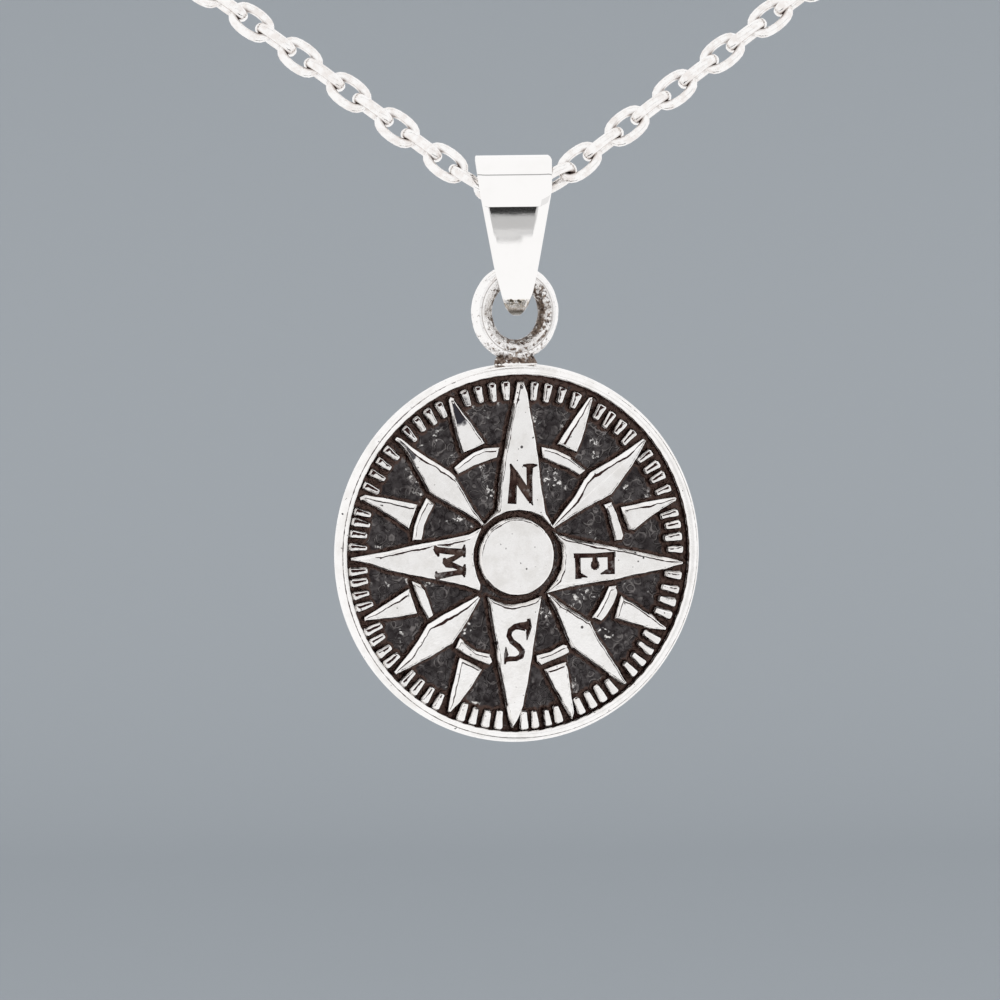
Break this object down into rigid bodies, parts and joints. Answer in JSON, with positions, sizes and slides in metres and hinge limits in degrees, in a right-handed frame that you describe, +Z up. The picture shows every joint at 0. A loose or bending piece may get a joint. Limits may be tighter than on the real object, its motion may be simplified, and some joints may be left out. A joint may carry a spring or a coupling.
{
  "type": "compass pendant on a chain necklace",
  "caption": "Round cast pendant with a raised compass rose and lettered points, hung by a soldered loop and a tapered folded bail on a closed cable chain.",
  "frame": {"origin": "middle of the clasp at the nape, where the chain goes round the back of the neck", "axes": "+Z up as worn, -Y towards the front where the pendant hangs, +X to the right seen from the front"},
  "size_m": [0.1168, 0.1269, 0.1333],
  "materials": {
    "cast_silver": "cast sterling silver, polished on the raised parts, oxidised dark in the recesses",
    "bail_silver": "mirror polished sterling silver",
    "chain_silver": "bright polished sterling silver wire",
    "clasp_silver": "bright polished sterling silver"
  },
  "bodies": {
    "necklace": {"chain": "chain_silver", "clasp": "clasp_silver"},
    "bail": {"bail": "bail_silver"},
    "medallion": {"medallion": "cast_silver"}
  },
  "joints": [
    {"name": "bail_swing", "type": "hinge", "parent": "necklace", "child": "bail", "pos_m": [0, -0.122, -0.1025], "axis": [1, 0, 0], "range_deg": [-60, 60]},
    {"name": "medallion_swing", "type": "hinge", "parent": "bail", "child": "medallion", "pos_m": [0, -0.122, -0.10726], "axis": [1, 0, 0], "range_deg": [-60, 60]}
  ]
}
